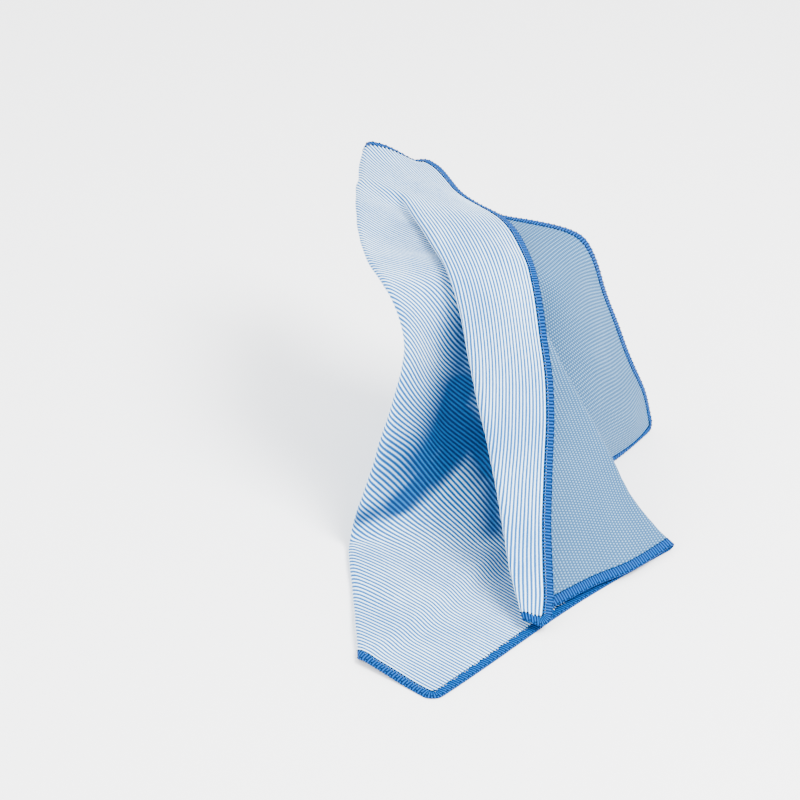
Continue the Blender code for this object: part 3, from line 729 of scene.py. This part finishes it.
class Nodes:
    """A material's node tree with short ways to add and join nodes."""

    def __init__(self, name):
        self.material = bpy.data.materials.new(name)
        self.material.use_nodes = True
        self.tree = self.material.node_tree
        self.shader = self.tree.nodes["Principled BSDF"]

    def join(self, value, socket):
        if isinstance(value, bpy.types.NodeSocket):
            self.tree.links.new(value, socket)
        else:
            socket.default_value = value

    def math(self, operation, a, b=0.0):
        node = self.tree.nodes.new("ShaderNodeMath")
        node.operation = operation
        self.join(a, node.inputs[0])
        self.join(b, node.inputs[1])
        return node.outputs[0]

    def uv(self, width=1.0):
        """The UV map's two coordinates, times a width."""
        node = self.tree.nodes.new("ShaderNodeUVMap")
        node.uv_map = "cloth"
        parts = self.tree.nodes.new("ShaderNodeSeparateXYZ")
        self.tree.links.new(node.outputs[0], parts.inputs[0])
        return [self.math("MULTIPLY", part, width) for part in parts.outputs[:2]]

    def noise(self, place, scale, detail=2.0):
        """Noise about nought, from about minus a half to a half."""
        node = self.tree.nodes.new("ShaderNodeTexNoise")
        self.join(place, node.inputs["Vector"])
        node.inputs["Scale"].default_value = scale
        node.inputs["Detail"].default_value = detail
        return self.math("SUBTRACT", node.outputs["Fac"], 0.5)

    def stretched_noise(self, u, v, stretch, detail=2.0):
        """Noise on u and v, each times its own stretch."""
        node = self.tree.nodes.new("ShaderNodeCombineXYZ")
        for value, times, socket in zip((u, v), stretch, node.inputs):
            self.join(self.math("MULTIPLY", value, times), socket)
        return self.noise(node.outputs[0], 1.0, detail)

    def add_part(self, total, extra, share):
        """The total plus a share of the extra."""
        return self.math("ADD", total, self.math("MULTIPLY", extra, share))

    def wave(self, cycles):
        """A raised cosine of the count of cycles, from nought to one."""
        turned = self.math("COSINE", self.math("MULTIPLY", cycles, 2 * math.pi))
        return self.math("MULTIPLY", self.math("ADD", turned, 1.0), 0.5)

    def ramp(self, factor, stops):
        node = self.tree.nodes.new("ShaderNodeValToRGB")
        self.join(factor, node.inputs[0])
        elements = node.color_ramp.elements
        while len(elements) < len(stops):
            elements.new(0.5)
        for element, (position, colour) in zip(elements, stops):
            element.position = position
            element.color = (*colour, 1.0)
        return node.outputs[0]

    def mix(self, factor, a, b):
        node = self.tree.nodes.new("ShaderNodeMix")
        node.data_type = "RGBA"
        self.join(factor, node.inputs[0])
        for value, socket in ((a, node.inputs[6]), (b, node.inputs[7])):
            self.join((*value, 1.0) if isinstance(value, tuple) else value, socket)
        return node.outputs[2]

    def attribute(self, name):
        node = self.tree.nodes.new("ShaderNodeAttribute")
        node.attribute_name = name
        return node.outputs["Fac"]

    def bump(self, height, distance, strength=1.0):
        node = self.tree.nodes.new("ShaderNodeBump")
        self.join(height, node.inputs["Height"])
        node.inputs["Distance"].default_value = distance
        node.inputs["Strength"].default_value = strength
        self.tree.links.new(node.outputs[0], self.shader.inputs["Normal"])

    def finish(self, colour, roughness, gloss, sheen=0.0, sheen_tint=(1.0, 1.0, 1.0)):
        self.join(colour, self.shader.inputs["Base Color"])
        self.shader.inputs["Roughness"].default_value = roughness
        self.shader.inputs["Sheen Weight"].default_value = sheen
        self.shader.inputs["Sheen Roughness"].default_value = 0.4
        self.shader.inputs["Sheen Tint"].default_value = (*sheen_tint, 1.0)
        self.shader.inputs["Specular IOR Level"].default_value = gloss
        return self.material


def face_material():
    """Satin microfibre ribs: pale crests, blue grooves, fine fibres across and knit loops along, with painted
    shade mixed in as a darker blue.
    """
    n = Nodes("ribbed_face")
    u_mm, v_mm = n.uv(SIDE)
    wander = n.stretched_noise(u_mm, v_mm, WANDER_STRETCH)
    ribs = n.add_part(n.math("DIVIDE", u_mm, RIB_PITCH), wander, 0.10)
    fibres = n.stretched_noise(u_mm, v_mm, FACE_FIBRE_STRETCH, detail=3.0)
    patches = n.stretched_noise(u_mm, v_mm, PATCH_STRETCH)
    level = n.add_part(n.wave(ribs), fibres, 0.75)
    level = n.add_part(level, patches, 0.35)
    # Painted shade: the shade attribute mixes the face's colour towards the painted shade's darker blue
    colour = n.mix(n.attribute("shade"), n.ramp(level, FACE_STOPS), n.ramp(level, PAINTED_SHADE_STOPS))
    loops = n.wave(n.add_part(n.math("DIVIDE", v_mm, LOOP_PITCH), ribs, 0.5))
    n.bump(n.add_part(fibres, loops, 0.35), CLOTH_BUMP, 0.8)
    return n.finish(colour, 0.5, 0.10, CLOTH_SHEEN, CLOTH_SHEEN_TINT)


def reverse_material():
    """The duller reverse: rows of pale dots, offset from rib to rib, on a grey-blue ground."""
    n = Nodes("dotted_reverse")
    u_mm, v_mm = n.uv(SIDE)
    ribs = n.math("DIVIDE", u_mm, RIB_PITCH)
    nearest_rib = n.math("FLOOR", n.math("ADD", ribs, 0.5))
    rows = n.add_part(n.math("DIVIDE", v_mm, DOT_PITCH), nearest_rib, 0.5)
    dots = n.math("MULTIPLY", n.wave(ribs), n.wave(rows))
    fibres = n.stretched_noise(u_mm, v_mm, REVERSE_FIBRE_STRETCH, detail=3.0)
    patches = n.stretched_noise(u_mm, v_mm, PATCH_STRETCH)
    level = n.add_part(dots, fibres, 0.9)
    level = n.add_part(level, patches, 0.2)
    colour = n.ramp(level, REVERSE_STOPS)
    n.bump(n.add_part(dots, fibres, 0.5), CLOTH_BUMP, 0.8)
    return n.finish(colour, 0.6, 0.08, CLOTH_SHEEN, CLOTH_SHEEN_TINT)


def band_material():
    """Blue stitching: the thread's own blue, with lighter crowns as a painted highlight and a deeper blue
    between the threads as painted shade.

    The crowns lean as the band's own stitches do.
    """
    n = Nodes("edging_stitches")
    around, along = n.uv()
    stitches = n.math("MULTIPLY", along, round(rim_line(STITCH_PITCH)[3] / STITCH_PITCH))
    across = n.wave(n.math("ADD", around, 0.5))
    turned = n.math("SIGN", n.math("SUBTRACT", 0.5, around))
    lean = n.math("MULTIPLY", across, turned)
    crown = n.wave(n.add_part(stitches, lean, STITCH_SLANT))
    fibres = n.stretched_noise(along, around, BAND_FIBRE_STRETCH, detail=3.0)
    # Painted highlight on the thread crowns and painted shade between the threads
    colour = n.ramp(n.add_part(crown, fibres, 0.5), BAND_STOPS)
    n.bump(n.add_part(crown, fibres, 0.6), 0.00025, 0.7)
    return n.finish(colour, 0.42, 0.03)


def needle_material():
    """Dark blue needle thread with a faint twist."""
    n = Nodes("needle_stitches")
    node = n.tree.nodes.new("ShaderNodeTexCoord")
    twist = n.noise(node.outputs["Object"], 1800.0)
    colour = n.ramp(n.math("ADD", twist, 0.5), NEEDLE_STOPS)
    n.bump(twist, 0.0001, 0.5)
    return n.finish(colour, 0.45, 0.03)


def floor_material():
    """A pale matt floor with the faintest grain."""
    n = Nodes("studio_floor")
    node = n.tree.nodes.new("ShaderNodeTexCoord")
    n.bump(n.noise(node.outputs["Object"], 40.0), 0.0001, 0.05)
    return n.finish((*FLOOR_COLOUR, 1.0), 0.9, 0.1)


def painted_shade_points(obj):
    """A point attribute from nought to one: how strongly painted shade darkens the face.

    It is the largest of a few bands over (u, v): each falls off by a bell curve of the
    distance to its middle line. A straight step ends some of them at the valley's foot.
    """
    u, v = sheet_grid()
    foot = np.array(SHADE_FOOT)
    over_foot = (v - np.interp(u, foot[:, 0], foot[:, 1])) / SHADE_FOOT_REACH
    over_foot = np.clip(over_foot + 0.5, 0.0, 1.0)
    total = np.zeros(u.shape)
    for start_u, start_v, end_u, end_v, reach, strength, ends_at_foot in SHADE_ROWS:
        run_u, run_v = end_u - start_u, end_v - start_v
        part = ((u - start_u) * run_u + (v - start_v) * run_v) / (run_u**2 + run_v**2)
        part = np.clip(part, 0.0, 1.0)
        off = (u - start_u - part * run_u) ** 2 + (v - start_v - part * run_v) ** 2
        band = strength * np.exp(-off / (2 * reach**2))
        if ends_at_foot:
            band = band * over_foot
        total = np.maximum(total, band)
    total *= panel_masks(u, v)["front"]
    attribute = obj.data.attributes.new("shade", "FLOAT", "POINT")
    attribute.data.foreach_set("value", np.clip(SHADE_GAIN * total, 0, 1).astype(np.float32).ravel())


def build_cloth():
    grid = drape()
    normals = grid_normals(grid)
    face = cloth_side("cloth_face", grid, normals, 1.0, RIB_BASE, RIB_HEIGHT)
    reverse = cloth_side("cloth_reverse", grid, normals, -1.0, REVERSE_BASE, REVERSE_RIB_HEIGHT)
    band = edging_band(grid, normals)
    needle = needle_thread(grid, normals)
    # Painted shade on the face, held in a point attribute
    painted_shade_points(face)
    face.data.materials.append(face_material())
    reverse.data.materials.append(reverse_material())
    band.data.materials.append(band_material())
    needle.data.materials.append(needle_material())
    for piece in (face, reverse, band, needle):
        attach(piece, "root")
    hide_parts("cloth_panel")
    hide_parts("overlock_edging")


def studio_floor():
    mesh = bpy.data.meshes.new("floor")
    r = FLOOR_REACH
    mesh.from_pydata([(-r, -r, 0), (r, -r, 0), (r, r, 0), (-r, r, 0)], [], [(0, 1, 2, 3)])
    floor = bpy.data.objects.new("floor", mesh)
    bpy.context.scene.collection.objects.link(floor)
    mesh.materials.append(floor_material())


def soft_light(name, place, target, size, power, colour):
    """A square area light at a place, turned to its target."""
    light = bpy.data.lights.new(name, "AREA")
    light.shape = "SQUARE"
    light.size = size
    light.energy = power
    light.color = colour
    obj = bpy.data.objects.new(name, light)
    bpy.context.scene.collection.objects.link(obj)
    obj.location = place
    obj.rotation_euler = (Vector(target) - Vector(place)).to_track_quat("-Z", "Y").to_euler()


def studio_lights():
    for row in LIGHT_ROWS:
        soft_light(*row)
    world = bpy.data.worlds.new("studio")
    world.use_nodes = True
    background = world.node_tree.nodes["Background"]
    background.inputs["Color"].default_value = (*SKY_COLOUR, 1.0)
    background.inputs["Strength"].default_value = SKY_STRENGTH
    bpy.context.scene.world = world


def photo_camera():
    """The camera, pitched down about X and then rolled about its own line of sight."""
    camera = bpy.data.cameras.new("camera")
    camera.lens = CAMERA_LENS
    camera.sensor_width = SENSOR_WIDTH
    camera.clip_start = 0.05
    obj = bpy.data.objects.new("camera", camera)
    bpy.context.scene.collection.objects.link(obj)
    pitched = Matrix.Rotation(math.radians(90 - CAMERA_PITCH), 4, "X")
    rolled = Matrix.Rotation(math.radians(CAMERA_ROLL), 4, "Z")
    obj.matrix_world = Matrix.Translation(CAMERA_PLACE) @ pitched @ rolled
    bpy.context.scene.camera = obj


photo_camera()
studio_floor()
studio_lights()
build_cloth()
